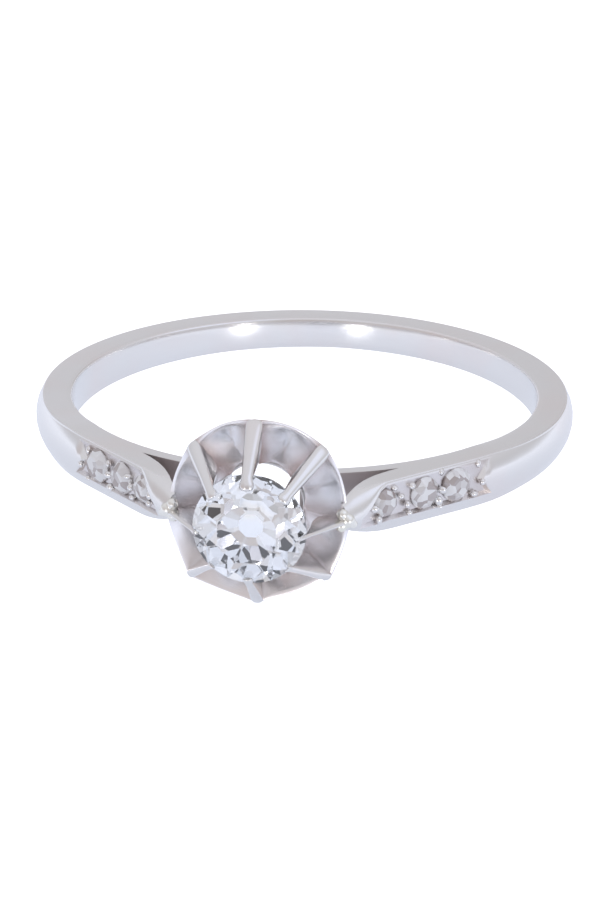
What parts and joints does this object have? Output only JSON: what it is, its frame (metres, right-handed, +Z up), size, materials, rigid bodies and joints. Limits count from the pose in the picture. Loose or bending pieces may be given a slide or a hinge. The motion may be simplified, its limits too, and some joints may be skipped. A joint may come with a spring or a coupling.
{
  "type": "solitaire ring",
  "caption": "Finger ring with a claw set stone on a fluted cup, small stones set in both shoulders and a plain domed band.",
  "frame": {"origin": "on the table that the ring lies on, under the middle of its bounding box", "axes": "-Y towards the head, +Y towards the back of the band, +Z up from the table"},
  "size_m": [0.0196, 0.0226, 0.0066],
  "materials": {
    "white_metal": "polished white gold, satin on the flat side faces",
    "centre_stone": "faceted, clear",
    "small_stones": "faceted, clear, slightly grey"
  },
  "bodies": {
    "root": {"mounting": "white_metal", "centre_stone": "centre_stone", "right_stone_1": "small_stones", "right_stone_2": "small_stones", "right_stone_3": "small_stones", "left_stone_1": "small_stones", "left_stone_2": "small_stones", "left_stone_3": "small_stones"}
  },
  "joints": []
}
